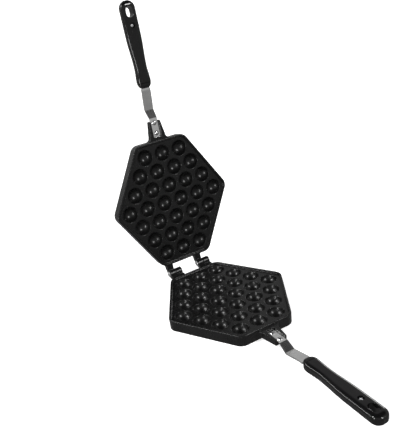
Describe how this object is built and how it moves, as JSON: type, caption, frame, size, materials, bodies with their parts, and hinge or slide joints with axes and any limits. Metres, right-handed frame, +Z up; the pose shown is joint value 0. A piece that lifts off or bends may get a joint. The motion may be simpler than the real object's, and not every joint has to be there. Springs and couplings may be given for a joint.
{
  "type": "egg waffle pan",
  "caption": "Hinged two-plate stove pan with ball-shaped cavities in a hexagon, riveted steel straps and moulded grips, standing open.",
  "frame": {"origin": "on the table, in the middle of the space that the open pan takes up", "axes": "+X along the hinge to the right of a person holding the lower grip, +Y from the lower grip to the hinge, +Z up"},
  "size_m": [0.1814, 0.4795, 0.4049],
  "materials": {
    "coated_casting": "satin black non-stick coating on cast aluminium",
    "strap_steel": "bright rolled steel, darker at the crank",
    "rivet_steel": "bright",
    "bright_steel": "polished",
    "grip_plastic": "gloss black moulded thermoset"
  },
  "bodies": {
    "lower_half": {"lower_casting": "coated_casting", "lower_strap": "strap_steel", "lower_inner_rivet": "rivet_steel", "lower_outer_rivet": "rivet_steel", "lower_grip": "grip_plastic", "lower_grip_screw": "bright_steel", "left_hinge_pin": "bright_steel", "right_hinge_pin": "bright_steel"},
    "upper_half": {"upper_casting": "coated_casting", "upper_strap": "strap_steel", "upper_inner_rivet": "rivet_steel", "upper_outer_rivet": "rivet_steel", "upper_grip": "grip_plastic", "upper_grip_screw": "bright_steel"}
  },
  "joints": [
    {"name": "fold", "type": "hinge", "parent": "lower_half", "child": "upper_half", "pos_m": [0, 0.15583, 0.016], "axis": [1, 0, 0], "range_deg": [0, 100]}
  ]
}
